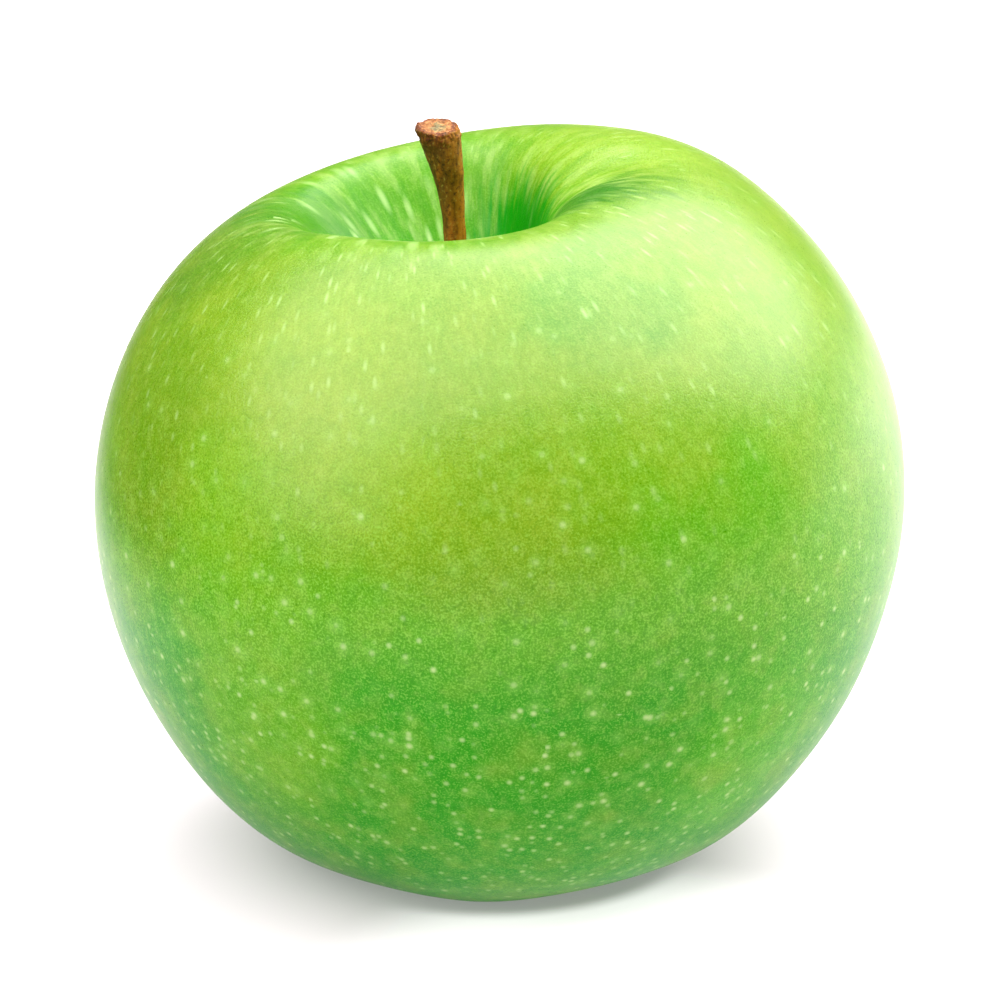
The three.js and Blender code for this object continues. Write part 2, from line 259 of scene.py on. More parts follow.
def waxed_apple_skin():
    """Thin, finely mottled green skin under its own wax: satin, with pale lenticels (its pores)."""
    axis_x = -1.04 * mm  # of the fruit at its foot
    axis_lean = -5.35 * mm  # further left at the height of the shoulder, with the cube of the height
    shoulder_height = 67 * mm
    core_radius = 20 * mm  # of the ring that the skin curls round
    core_height = 36 * mm
    ground_stops = (  # place on the way up the skin, colour
        (0.33, "#248800"), (0.43, "#509400"), (0.55, "#608F00"), (0.63, "#688C06"),
        (0.72, "#6A880A"), (0.79, "#5E8002"), (0.84, "#4E7E00"),
    )
    tone_and_painted_light_patches = (  # middle and reach in mm, colour, share
        ((-17, -28, 56), (14, 12, 11), "#7A9416", 0.80),
        ((-33, -18, 49), (8, 16, 18), "#5F8100", 0.90),
        ((-1, -38, 46), (14, 10, 10), "#698A06", 0.80),
        ((-25, -4, 63), (11, 14, 10), "#4C7000", 0.80),
        ((-22, -30, 24), (10, 12, 20), "#6A9C00", 0.55),
        # painted shade: this one darkens the right of the highlight on the shoulder
        ((11, -25, 63), (10, 9, 8), "#4C7E00", 0.70),
        ((10, 7, 70), (14, 12, 8), "#76921C", 0.70),
        # painted highlight: these two lighten the lower left of the cheek, where the highlight reaches down
        ((-13, -35, 48), (14, 8, 8), "#78980E", 0.70),
        ((-25, -28, 45), (8, 10, 9), "#729E10", 0.50),
        ((20, -30, 42), (12, 12, 10), "#4E9200", 0.80),
        ((24, -28, 20), (10, 12, 14), "#4C9E00", 0.60),
    )
    painted_shade_hollows = (  # the same in the cavity
        ((4, 5, 61), (8, 8, 6), "#007C00", 0.95),
        ((8, -6, 68), (8, 5, 5), "#206000", 0.85),
        ((-18, 3, 63), (9, 7, 6), "#2A6A00", 0.65),
    )
    fold_middle, fold_reach = (9, -3, 67), (8, 6, 6)
    blotch_size, cloud_size, mottle_size = 7 * mm, 4 * mm, 1.1 * mm
    grain_size = 0.20 * mm  # coarser than the cells of the skin, so that it shows
    shoulder_radius = 36 * mm  # of the fruit where the streaks start, for their widths there
    streak_width, fold_streak_width, stroke_width = 0.6 * mm, 1.5 * mm, 4 * mm
    pore_spacing, fine_pore_spacing = 2.4 * mm, 1.3 * mm
    long_pore_spacing, cavity_pore_spacing = 1.2 * mm, 4 * mm

    skin = bpy.data.materials.new("waxed_apple_skin")
    skin.use_nodes = True
    tree = skin.node_tree
    surface = tree.nodes["Principled BSDF"]

    # climb says how far up the skin a point is, as an angle round the core: -1.7 at the foot, 0 at the
    # cheek, 1.6 on the shoulder and 2.4 in the cavity
    place = add_node(tree, "ShaderNodeTexCoord").outputs["Object"]
    at = add_node(tree, "ShaderNodeSeparateXYZ", {0: place}).outputs
    up = add_node(tree, "ShaderNodeMath", {0: at["Z"], 1: shoulder_height}, operation="DIVIDE").outputs[0]
    up_cubed = add_node(tree, "ShaderNodeMath", {0: up, 1: 3.0}, operation="POWER").outputs[0]
    axis = add_node(tree, "ShaderNodeMath", {0: up_cubed, 1: axis_lean, 2: axis_x},
                    operation="MULTIPLY_ADD").outputs[0]
    across = add_node(tree, "ShaderNodeMath", {0: at["X"], 1: axis}, operation="SUBTRACT").outputs[0]
    flat = add_node(tree, "ShaderNodeCombineXYZ", {0: across, 1: at["Y"]}).outputs[0]
    radius = add_node(tree, "ShaderNodeVectorMath", {0: flat}, operation="LENGTH").outputs["Value"]
    outward = add_node(tree, "ShaderNodeVectorMath", {0: flat}, operation="NORMALIZE").outputs[0]
    from_core = add_node(tree, "ShaderNodeMath", {0: radius, 1: core_radius}, operation="SUBTRACT").outputs[0]
    over_core = add_node(tree, "ShaderNodeMath", {0: at["Z"], 1: core_height},
                         operation="SUBTRACT").outputs[0]
    climb = add_node(tree, "ShaderNodeMath", {0: over_core, 1: from_core}, operation="ARCTAN2").outputs[0]

    # two spaces that follow the skin up, so that a pattern in them is drawn out into streaks: 1 unit is a
    # radian round the fruit, and 3 radians of climb, or 1.4 for the shorter streaks of the cavity
    spaces = []
    for rise_share in (0.33, 0.7):
        rise = add_node(tree, "ShaderNodeMath", {0: climb, 1: rise_share}, operation="MULTIPLY").outputs[0]
        rise = add_node(tree, "ShaderNodeCombineXYZ", {2: rise}).outputs[0]
        space = add_node(tree, "ShaderNodeVectorMath", {0: outward, 1: rise}, operation="ADD").outputs[0]
        spaces.append(space)
    meridian, in_cavity = spaces

    # the ground green: fresh at the foot, yellower over the cheek and shoulder, deep in the cavity
    up_skin = add_node(tree, "ShaderNodeMapRange", {0: climb, 1: -1.8, 2: 2.4}).outputs[0]
    ground = add_node(tree, "ShaderNodeValToRGB", {0: up_skin})
    foot_stop, cavity_stop = ground.color_ramp.elements
    foot_stop.position = 0.12
    foot_stop.color = linear("#147E00")
    cavity_stop.position = 0.90
    cavity_stop.color = linear("#408800")
    for position, shade in ground_stops:
        ground.color_ramp.elements.new(position).color = linear(shade)
    colour = ground.outputs[0]

    # patches with uneven edges, yellower and greener: partly the skin's tone, partly painted light and shade
    blotches = add_node(tree, "ShaderNodeTexNoise",
                        {"Vector": place, "Scale": 1 / blotch_size, "Detail": 3.0}).outputs[0]
    for middle, reach, shade, share in tone_and_painted_light_patches:
        far = reaches_from(tree, place, middle, reach)
        uneven = add_node(tree, "ShaderNodeMath", {0: blotches, 1: 1.2, 2: far},
                          operation="MULTIPLY_ADD").outputs[0]
        colour = lay_over(tree, colour, shade, uneven, 1.7, 1.0, share, edge="SMOOTHSTEP")

    # the same blotches, clouds of yellower and greener skin, mottles of a millimetre, streaks up the
    # shoulder and a fine grain; each has its own strength at the foot, on the cheek and on the shoulder
    clouds = add_node(tree, "ShaderNodeTexNoise",
                      {"Vector": place, "Scale": 1 / cloud_size, "Detail": 1.0}).outputs[0]
    mottles = add_node(tree, "ShaderNodeTexNoise",
                       {"Vector": place, "Scale": 1 / mottle_size, "Detail": 1.0}).outputs[0]
    drawn_out = {"Vector": meridian, "Scale": shoulder_radius / streak_width, "Detail": 2.0}
    streaks = add_node(tree, "ShaderNodeTexNoise", drawn_out).outputs[0]
    grain = add_node(tree, "ShaderNodeTexNoise",
                     {"Vector": place, "Scale": 1 / grain_size, "Detail": 1.0, "Roughness": 0.6}).outputs[0]
    for pattern, at_foot, at_cheek, at_shoulder, pale, deep in (
            (blotches, 0.12, 0.10, 0.06, "#A0A440", "#208200"),
            (clouds, 0.12, 0.10, 0.06, "#A0A440", "#208200"),
            (mottles, 0.11, 0.12, 0.07, "#A0B85C", "#287600"),
            (streaks, 0.00, 0.00, 0.09, "#A0B85C", "#287600"),
            (grain, 0.28, 0.46, 0.17, "#88BC48", "#266600")):
        above = add_node(tree, "ShaderNodeMapRange",
                         {0: climb, 1: 0.0, 2: 1.0, 3: at_cheek, 4: at_shoulder}).outputs[0]
        below = add_node(tree, "ShaderNodeMapRange",
                         {0: climb, 1: 0.0, 2: -1.0, 3: 0.0, 4: at_foot - at_cheek}).outputs[0]
        weight = add_node(tree, "ShaderNodeMath", {0: above, 1: below}, operation="ADD").outputs[0]
        for full, shade in ((0.68, pale), (0.32, deep)):
            colour = lay_over(tree, colour, shade, pattern, 0.5, full, held_by=weight)

    # the cavity is drawn with broad pale and deep strokes, and with narrow ones in the fold at its right
    broad = {"Vector": in_cavity, "Scale": shoulder_radius / stroke_width, "Detail": 3.0}
    strokes = add_node(tree, "ShaderNodeTexNoise", broad).outputs[0]
    narrow = {"Vector": meridian, "Scale": shoulder_radius / fold_streak_width, "Detail": 2.0}
    fold_streaks = add_node(tree, "ShaderNodeTexNoise", narrow).outputs[0]
    far = reaches_from(tree, place, fold_middle, fold_reach)
    folded = add_node(tree, "ShaderNodeMapRange", {0: far, 1: 1.2, 2: 0.4, 3: 0.0, 4: 0.32},
                      interpolation_type="SMOOTHSTEP").outputs[0]
    sunk = add_node(tree, "ShaderNodeMapRange", {0: climb, 1: 1.45, 2: 1.70, 3: 0.0, 4: 0.24}).outputs[0]
    for pattern, weight in ((strokes, sunk), (fold_streaks, folded)):
        for full, shade in ((0.64, "#9EB468"), (0.38, "#1E7000")):
            colour = lay_over(tree, colour, shade, pattern, 0.5, full, held_by=weight)

    # painted shade in the cavity: its right, its fold and a groove at its left end are painted a deep clear
    # green
    for middle, reach, shade, share in painted_shade_hollows:
        far = reaches_from(tree, place, middle, reach)
        uneven = add_node(tree, "ShaderNodeMath", {0: fold_streaks, 1: 1.6, 2: far},
                          operation="MULTIPLY_ADD").outputs[0]
        colour = lay_over(tree, colour, shade, uneven, 2.0, 1.2, share, edge="SMOOTHSTEP")

    # lenticels, cream cores in soft pale halos: round ones on the cheek, fine ones crowded towards the
    # foot, drawn-out ones on the upper cheek, and fat streaks down the cavity that fade out on its right.
    # A row holds its space, cells per unit, radii of core and halo in cells, the climb where they are rarest
    # and their share of the cells there, the same where they are commonest, the climbs over which they come
    # up, and what they fade along, from where to where, with the strength that is left.
    aside = add_node(tree, "ShaderNodeVectorMath", {0: place, 1: (0.2, 0.1, 0.3)}, operation="ADD").outputs[0]
    for space, scale, core, halo, rarest, commonest, (hidden, shown), (way, kept, faded, left) in (
            (place, 1 / pore_spacing, 0.13, 0.58,
             (1.3, 0.60), (-1.0, 1.00), (-3.0, -0.6), (climb, -0.3, 1.6, 0.1)),
            (aside, 1 / fine_pore_spacing, 0.20, 0.46,
             (0.3, 0.05), (-1.1, 0.80), (-3.0, -0.6), (climb, -0.1, 0.8, 0.1)),
            (meridian, shoulder_radius / long_pore_spacing, 0.20, 0.42,
             (-0.2, 0.30), (1.2, 0.70), (-0.6, 3.2), (climb, 1.5, 1.8, 0.1)),
            (in_cavity, shoulder_radius / cavity_pore_spacing, 0.26, 0.46,
             (1.5, 0.60), (1.8, 1.00), (1.50, 1.75), (across, 0.0, 4 * mm, 0.2))):
        cells = add_node(tree, "ShaderNodeTexVoronoi", {"Vector": space, "Scale": scale}).outputs
        chance = add_node(tree, "ShaderNodeSeparateColor", {0: cells["Color"]}).outputs
        wanted = add_node(tree, "ShaderNodeMapRange",
                          {0: climb, 1: rarest[0], 2: commonest[0], 3: rarest[1], 4: commonest[1]}).outputs[0]
        present = add_node(tree, "ShaderNodeMath", {0: chance[0], 1: wanted},
                           operation="LESS_THAN").outputs[0]
        risen = add_node(tree, "ShaderNodeMapRange", {0: climb, 1: hidden, 2: shown}).outputs[0]
        lasting = add_node(tree, "ShaderNodeMapRange",
                           {0: way, 1: kept, 2: faded, 3: 1.0, 4: left}).outputs[0]
        strength = add_node(tree, "ShaderNodeMapRange", {0: chance[1], 3: 0.35, 4: 1.0}).outputs[0]
        for factor in (present, risen, lasting):
            strength = add_node(tree, "ShaderNodeMath", {0: strength, 1: factor},
                                operation="MULTIPLY").outputs[0]
        for outer, inner, share, shade in (
                (halo, 0.0, 0.38, "#80B44C"),
                (1.6 * core, 0.2 * core, 0.60, "#B8CC8C")):
            colour = lay_over(tree, colour, shade, cells["Distance"], outer, inner, share,
                              held_by=strength, edge="SMOOTHSTEP")

    # the skin turns dry and russet where it meets the stem and the calyx
    for start, end, shade in ((2.22, 2.40, "#6E6222"), (-1.92, -2.08, "#5E5426")):
        near = add_node(tree, "ShaderNodeMapRange", {0: climb, 1: start, 2: end}).outputs[0]
        uneven = add_node(tree, "ShaderNodeMath", {0: near, 1: blotches}, operation="MULTIPLY").outputs[0]
        colour = lay_over(tree, colour, shade, uneven, 0.15, 0.5, 0.85)

    # painted shade on the sheen: the shine is turned down in the cavity and towards the foot
    shine_with_painted_cavity_shade = add_node(tree, "ShaderNodeMapRange",
                           {0: climb, 1: 1.60, 2: 1.80, 3: 0.5, 4: 0.12}).outputs[0]
    painted_foot_shade_on_shine = add_node(tree, "ShaderNodeMapRange", {0: climb, 1: 0.9, 2: -0.6, 3: 0.0, 4: 0.38}).outputs[0]
    shine = add_node(tree, "ShaderNodeMath", {0: shine_with_painted_cavity_shade, 1: painted_foot_shade_on_shine}, operation="SUBTRACT").outputs[0]
    roughness = add_node(tree, "ShaderNodeMapRange", {0: grain, 1: 0.2, 2: 0.8, 3: 0.26, 4: 0.38}).outputs[0]
    bump = add_node(tree, "ShaderNodeBump",
                    {"Height": grain, "Strength": 0.5, "Distance": 0.04 * mm}).outputs[0]
    tree.links.new(colour, surface.inputs["Base Color"])
    tree.links.new(shine, surface.inputs["Specular IOR Level"])
    tree.links.new(roughness, surface.inputs["Roughness"])
    tree.links.new(bump, surface.inputs["Normal"])
    surface.inputs["IOR"].default_value = 1.42
    surface.inputs["Subsurface Weight"].default_value = 0.08
    surface.inputs["Subsurface Radius"].default_value = (0.6, 1.0, 0.3)
    surface.inputs["Subsurface Scale"].default_value = 1.0 * mm
    return skin


fruit.data.materials.clear()
fruit.data.materials.append(waxed_apple_skin())
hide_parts("fruit")
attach(fruit, "root")


# ---------------------------------------------------------------------------------------------
# Stem: the woody stalk that held the apple on its spur. It leaves the bottom of the cavity through
# a collar of flesh, leans left, and flares to the knuckle where it was torn off.
# ---------------------------------------------------------------------------------------------

stem_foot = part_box("stem")[0].z
stem_sides = 20
stem_rings = [  # height of the ring above the foot, sideways place of its middle, radius; all in mm
    (0.5, -3.35, 1.25),
    (2.1, -3.65, 1.62),
    (3.3, -3.78, 1.26),
    (5.2, -3.90, 1.13),
    (8.1, -4.05, 1.09),
    (11.1, -4.22, 1.08),
    (14.0, -4.42, 1.13),
    (16.4, -4.66, 1.30),
    (18.6, -5.03, 1.58),
    (20.6, -5.48, 1.90),
    (22.1, -5.83, 2.12),
    (22.7, -5.98, 2.10),
]
head_tilt = math.radians(11)  # the torn face looks a little to the front
rim_width = 0.3 * mm
pith_share = 0.55
pith_drop = 0.25 * mm
torn_depth = 0.8 * mm  # below the middle of the torn face
knot_size, knot_height = 2.6 * mm, 0.24 * mm
bark_grain_size, bark_grain_height = 0.45 * mm, 0.07 * mm
tear_size, tear_height = 0.55 * mm, 0.50 * mm

bpy.ops.object.select_all(action="DESELECT")
height, sideways, radius = (value * mm for value in stem_rings[0])
bpy.ops.mesh.primitive_circle_add(
    vertices=stem_sides,
    radius=radius,
    fill_type="NGON",
    location=(sideways, 0, stem_foot + height),
)
stem = bpy.context.object
stem.name = "woody_stem"
bpy.ops.object.transform_apply(location=True, rotation=True, scale=True)
bpy.ops.object.mode_set(mode="EDIT")
bpy.ops.mesh.select_all(action="SELECT")
for lower, upper in zip(stem_rings, stem_rings[1:]):
    step = ((upper[1] - lower[1]) * mm, 0, (upper[0] - lower[0]) * mm)
    bpy.ops.mesh.extrude_region_move(TRANSFORM_OT_translate={"value": step})
    middle = (upper[1] * mm, 0, stem_foot + upper[0] * mm)
    growth = upper[2] / lower[2]
    bpy.ops.transform.resize(value=(growth, growth, 1), center_override=middle)
head_middle = (stem_rings[-1][1] * mm, 0, stem_foot + stem_rings[-1][0] * mm)
bpy.ops.transform.rotate(value=-head_tilt, orient_axis="X", center_override=head_middle)
bpy.ops.mesh.inset(thickness=rim_width, depth=0)
bpy.ops.object.material_slot_add()
bpy.ops.object.material_slot_add()
stem.active_material_index = 1
bpy.ops.object.material_slot_assign()
bpy.ops.mesh.inset(thickness=rim_width, depth=0)
bpy.ops.mesh.extrude_region_move(TRANSFORM_OT_translate={"value": (0, 0, -pith_drop)})
bpy.ops.transform.resize(value=(pith_share, pith_share, 1), center_override=head_middle)
bpy.ops.mesh.select_all(action="SELECT")
bpy.ops.mesh.normals_make_consistent(inside=False)
bpy.ops.object.mode_set(mode="OBJECT")

head_height = head_middle[2] - torn_depth
torn = stem.vertex_groups.new(name="torn_end")
torn.add([v.index for v in stem.data.vertices if v.co.z > head_height], 1.0, "REPLACE")
bark = stem.vertex_groups.new(name="bark")
bark.add([v.index for v in stem.data.vertices if v.co.z <= head_height], 1.0, "REPLACE")
subdivide_smoothly(stem, 3)
displace(stem, "knots", knot_size, knot_height)
displace(stem, "bark_grain", bark_grain_size, bark_grain_height, group="bark")
displace(stem, "torn_fibres", tear_size, tear_height, group="torn_end")
bpy.ops.object.shade_smooth()


def weathered_bark():
    """Thin dry bark with a dull sheen: orange-brown low down, olive-brown above and redder at the head,
    finely cracked and flecked with pale cork."""
    drift_size, drift_height = 2.0 * mm, 4 * mm  # of the uneven edges between its browns
    colour_foot, colour_head = 60 * mm, 75.5 * mm  # heights between which its browns follow each other
    colour_stops = ((0.3, "#8C4C00"), (0.55, "#704600"), (0.8, "#5C3C00"), (0.9, "#5C3400"))
    fibre_width, fibre_stretch = 0.5 * mm, 5
    speck_size = 0.40 * mm
    aged_foot, aged_head = 58 * mm, 68 * mm  # heights between which specks grow to their full strength

    material = bpy.data.materials.new("weathered_bark")
    material.use_nodes = True
    tree = material.node_tree
    surface = tree.nodes["Principled BSDF"]
    coordinates = add_node(tree, "ShaderNodeTexCoord").outputs
    place = coordinates["Object"]
    height = add_node(tree, "ShaderNodeSeparateXYZ", {0: place}).outputs["Z"]
    drift = add_node(tree, "ShaderNodeTexNoise",
                     {"Vector": place, "Scale": 1 / drift_size, "Detail": 2.0}).outputs[0]
    drifted = add_node(tree, "ShaderNodeMath", {0: drift, 1: drift_height, 2: height},
                       operation="MULTIPLY_ADD").outputs[0]
    up = add_node(tree, "ShaderNodeMapRange", {0: drifted, 1: colour_foot, 2: colour_head}).outputs[0]
    browns = add_node(tree, "ShaderNodeValToRGB", {0: up})
    foot_stop, head_stop = browns.color_ramp.elements
    foot_stop.color = linear("#924200")
    head_stop.position = 0.97
    head_stop.color = linear("#622804")
    for position, shade in colour_stops:
        browns.color_ramp.elements.new(position).color = linear(shade)
    colour = browns.outputs[0]

    # painted light and shade: the right side is painted paler, as if lit, and the left side darker and
    # greener
    facing = add_node(tree, "ShaderNodeSeparateXYZ", {0: coordinates["Normal"]}).outputs["X"]
    colour = lay_over(tree, colour, "#A66E00", facing, -0.1, 0.9, 0.75)
    colour = lay_over(tree, colour, "#3C3400", facing, -0.2, -0.9, 0.60)

    # fibres run along the stem; small cracks and flecks lie over them, more of them towards the head
    drawn_out = add_node(tree, "ShaderNodeMapping", {0: place, "Scale": (1, 1, 1 / fibre_stretch)}).outputs[0]
    fibre = add_node(tree, "ShaderNodeTexNoise",
                     {"Vector": drawn_out, "Scale": 1 / fibre_width, "Detail": 3.0}).outputs[0]
    speck = add_node(tree, "ShaderNodeTexNoise",
                     {"Vector": place, "Scale": 1 / speck_size, "Detail": 4.0, "Roughness": 0.75}).outputs[0]
    aged = add_node(tree, "ShaderNodeMapRange",
                    {0: height, 1: aged_foot, 2: aged_head, 3: 0.5, 4: 1.0}).outputs[0]
    for shade, pattern, start, end, share, held_by in (
            ("#3C2400", fibre, 0.50, 0.32, 0.60, None),
            ("#A05E00", fibre, 0.52, 0.68, 0.45, None),
            ("#2A1800", speck, 0.47, 0.36, 0.85, aged),
            ("#A0883A", speck, 0.57, 0.68, 0.70, aged)):
        colour = lay_over(tree, colour, shade, pattern, start, end, share, held_by)

    relief = add_node(tree, "ShaderNodeMath", {0: speck, 1: 0.6, 2: fibre},
                      operation="MULTIPLY_ADD").outputs[0]
    bump = add_node(tree, "ShaderNodeBump",
                    {"Height": relief, "Strength": 0.6, "Distance": 0.10 * mm}).outputs[0]
    roughness = add_node(tree, "ShaderNodeMapRange", {0: fibre, 1: 0.3, 2: 0.7, 3: 0.5, 4: 0.75}).outputs[0]
    tree.links.new(colour, surface.inputs["Base Color"])
    tree.links.new(roughness, surface.inputs["Roughness"])
    tree.links.new(bump, surface.inputs["Normal"])
    surface.inputs["IOR"].default_value = 1.45
    surface.inputs["Specular IOR Level"].default_value = 0.25
    return material


def torn_wood():
    """The torn face, dull and fibrous: greyish pith, orange-tan wood round it, red-brown at the rim."""
    wander_size, wander_reach = 0.7 * mm, 1.6 * mm  # of the uneven edges between its rings
    rings_start, rings_end = 0.6 * mm, 2.9 * mm  # distances from the middle, with the wander added
    ring_stops = ((0.36, "#7C6A40"), (0.48, "#966636"), (0.68, "#8E5626"), (0.82, "#6C3618"))
    fibre_size = 0.30 * mm

    material = bpy.data.materials.new("torn_wood")
    material.use_nodes = True
    tree = material.node_tree
    surface = tree.nodes["Principled BSDF"]
    place = add_node(tree, "ShaderNodeTexCoord").outputs["Object"]
    centred = add_node(tree, "ShaderNodeMapping", {0: place, "Location": -Vector(head_middle)}).outputs[0]
    wander = add_node(tree, "ShaderNodeTexNoise",
                      {"Vector": place, "Scale": 1 / wander_size, "Detail": 3.0}).outputs[0]
    from_middle = add_node(tree, "ShaderNodeVectorMath", {0: centred}, operation="LENGTH").outputs["Value"]
    wandered = add_node(tree, "ShaderNodeMath", {0: wander, 1: wander_reach, 2: from_middle},
                        operation="MULTIPLY_ADD").outputs[0]
    out = add_node(tree, "ShaderNodeMapRange", {0: wandered, 1: rings_start, 2: rings_end}).outputs[0]
    rings = add_node(tree, "ShaderNodeValToRGB", {0: out})
    pith_stop, rim_stop = rings.color_ramp.elements
    pith_stop.position = 0.1
    pith_stop.color = linear("#6E6644")
    rim_stop.position = 0.95
    rim_stop.color = linear("#4E2412")
    for position, shade in ring_stops:
        rings.color_ramp.elements.new(position).color = linear(shade)
    colour = rings.outputs[0]

    # broken fibres, dark between and pale where their ends catch the light
    fibre = add_node(tree, "ShaderNodeTexNoise",
                     {"Vector": place, "Scale": 1 / fibre_size, "Detail": 2.0}).outputs[0]
    colour = lay_over(tree, colour, "#4E2C12", fibre, 0.48, 0.32, 0.8)
    colour = lay_over(tree, colour, "#C08E54", fibre, 0.52, 0.68, 0.6)
    bump = add_node(tree, "ShaderNodeBump",
                    {"Height": fibre, "Strength": 0.7, "Distance": 0.2 * mm}).outputs[0]
    tree.links.new(colour, surface.inputs["Base Color"])
    tree.links.new(bump, surface.inputs["Normal"])
    surface.inputs["Roughness"].default_value = 0.8
    surface.inputs["IOR"].default_value = 1.45
    return material


stem.material_slots[0].material = weathered_bark()
stem.material_slots[1].material = torn_wood()
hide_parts("stem")
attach(stem, "root")


# ---------------------------------------------------------------------------------------------
# Calyx: what the flower left in the basin. Five sepals have dried brown on a thin collar; they
# close over the tube and roll their tips outward. Through the fault noted below, only the
# collar is built.
# ---------------------------------------------------------------------------------------------

calyx_low, calyx_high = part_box("calyx_stamens")
calyx_axis = Vector(((calyx_low.x + calyx_high.x) / 2, (calyx_low.y + calyx_high.y) / 2, 0))
sepal_count = 5
sepal_columns = 6
sepal_rows = [  # distance of the row from the calyx axis, its height, half its width; all in mm
    (4.1, 7.0, 1.50),
    (3.4, 6.2, 1.55),
    (2.8, 5.3, 1.50),
    (2.5, 4.3, 1.30),
    (2.8, 3.4, 1.05),
    (3.6, 2.7, 0.75),
    (4.6, 2.4, 0.42),
    (5.3, 2.7, 0.12),
]
sepal_thickness = 0.35 * mm
sepal_cup = 0.35 * mm
sepal_stretch = (0.88, 1.06)  # least and most of the random draw for each sepal
sepal_lean = (-0.15, 0.15)  # radians, the same
crinkle_size, crinkle_height = 1.1 * mm, 0.45 * mm
collar_radius, collar_thickness, collar_height = 3.6 * mm, 1.0 * mm, 6.8 * mm
collar_sides, collar_roundness = 60, 12
random.seed(5)

bpy.ops.object.select_all(action="DESELECT")
reach, height, half_width = (value * mm for value in sepal_rows[0])
bpy.ops.mesh.primitive_grid_add(
    x_subdivisions=sepal_columns,
    y_subdivisions=1,
    size=2 * half_width,
    location=(0, reach + half_width, height),
)
sepal = bpy.context.object
sepal.name = "dried_sepal"
bpy.ops.object.transform_apply(location=True, rotation=True, scale=True)
# Known fault: the edges and faces of the new grid are still selected here, so edit mode selects every
# corner and the delete empties the mesh. Only the collar is left of this piece. The mend is to deselect
# the mesh's edges and faces first, here and again before the cup.
for corner in sepal.data.vertices:
    corner.select = corner.co.y > reach + half_width
bpy.ops.object.mode_set(mode="EDIT")
bpy.ops.mesh.select_mode(type="VERT")
bpy.ops.mesh.delete(type="VERT")
bpy.ops.mesh.select_all(action="SELECT")
for lower, upper in zip(sepal_rows, sepal_rows[1:]):
    step = (0, (upper[0] - lower[0]) * mm, (upper[1] - lower[1]) * mm)
    bpy.ops.mesh.extrude_region_move(TRANSFORM_OT_translate={"value": step})
    middle = (0, upper[0] * mm, upper[1] * mm)
    bpy.ops.transform.resize(value=(upper[2] / lower[2], 1, 1), center_override=middle)
bpy.ops.object.mode_set(mode="OBJECT")
for corner in sepal.data.vertices:
    corner.select = abs(corner.co.x) < half_width / sepal_columns
bpy.ops.object.mode_set(mode="EDIT")
bpy.ops.transform.translate(value=(0, sepal_cup, 0))
bpy.ops.mesh.select_all(action="SELECT")
bpy.ops.mesh.normals_make_consistent(inside=False)
bpy.ops.object.mode_set(mode="OBJECT")
sheet = sepal.modifiers.new("sheet", "SOLIDIFY")
sheet.thickness = sepal_thickness
sheet.offset = 0
bpy.ops.object.modifier_apply(modifier=sheet.name)
subdivide_smoothly(sepal, 2)

sepals = [sepal]
while len(sepals) < sepal_count:
    twin = bpy.data.objects.new("dried_sepal", sepal.data.copy())
    bpy.context.collection.objects.link(twin)
    sepals.append(twin)
bpy.ops.mesh.primitive_torus_add(
    major_radius=collar_radius,
    minor_radius=collar_thickness / 2,
    major_segments=collar_sides,
    minor_segments=collar_roundness,
    location=(0, 0, collar_height),
)
collar = bpy.context.object
collar.name = "calyx_collar"
bpy.ops.object.transform_apply(location=True, rotation=True, scale=True)
for number, piece in enumerate(sepals):
    bpy.ops.object.select_all(action="DESELECT")
    piece.select_set(True)
    bpy.context.view_layer.objects.active = piece
    bpy.ops.object.mode_set(mode="EDIT")
    bpy.ops.mesh.select_all(action="SELECT")
    stretch = random.uniform(*sepal_stretch)
    base = (0, sepal_rows[0][0] * mm, sepal_rows[0][1] * mm)
    bpy.ops.transform.resize(value=(1, stretch, stretch), center_override=base)
    bpy.ops.transform.rotate(value=random.uniform(*sepal_lean), orient_axis="Y", center_override=base)
    turn = math.tau * number / sepal_count
    bpy.ops.transform.rotate(value=turn, orient_axis="Z", center_override=(0, 0, 0))
    bpy.ops.object.mode_set(mode="OBJECT")
bpy.ops.object.select_all(action="DESELECT")
for piece in sepals + [collar]:
    piece.select_set(True)
bpy.context.view_layer.objects.active = sepal
bpy.ops.object.join()
calyx = bpy.context.object
calyx.name = "dried_sepals"
bpy.ops.object.mode_set(mode="EDIT")
bpy.ops.mesh.select_all(action="SELECT")
bpy.ops.transform.translate(value=calyx_axis)
bpy.ops.object.mode_set(mode="OBJECT")
displace(calyx, "crinkles", crinkle_size, crinkle_height)
bpy.ops.object.shade_smooth()


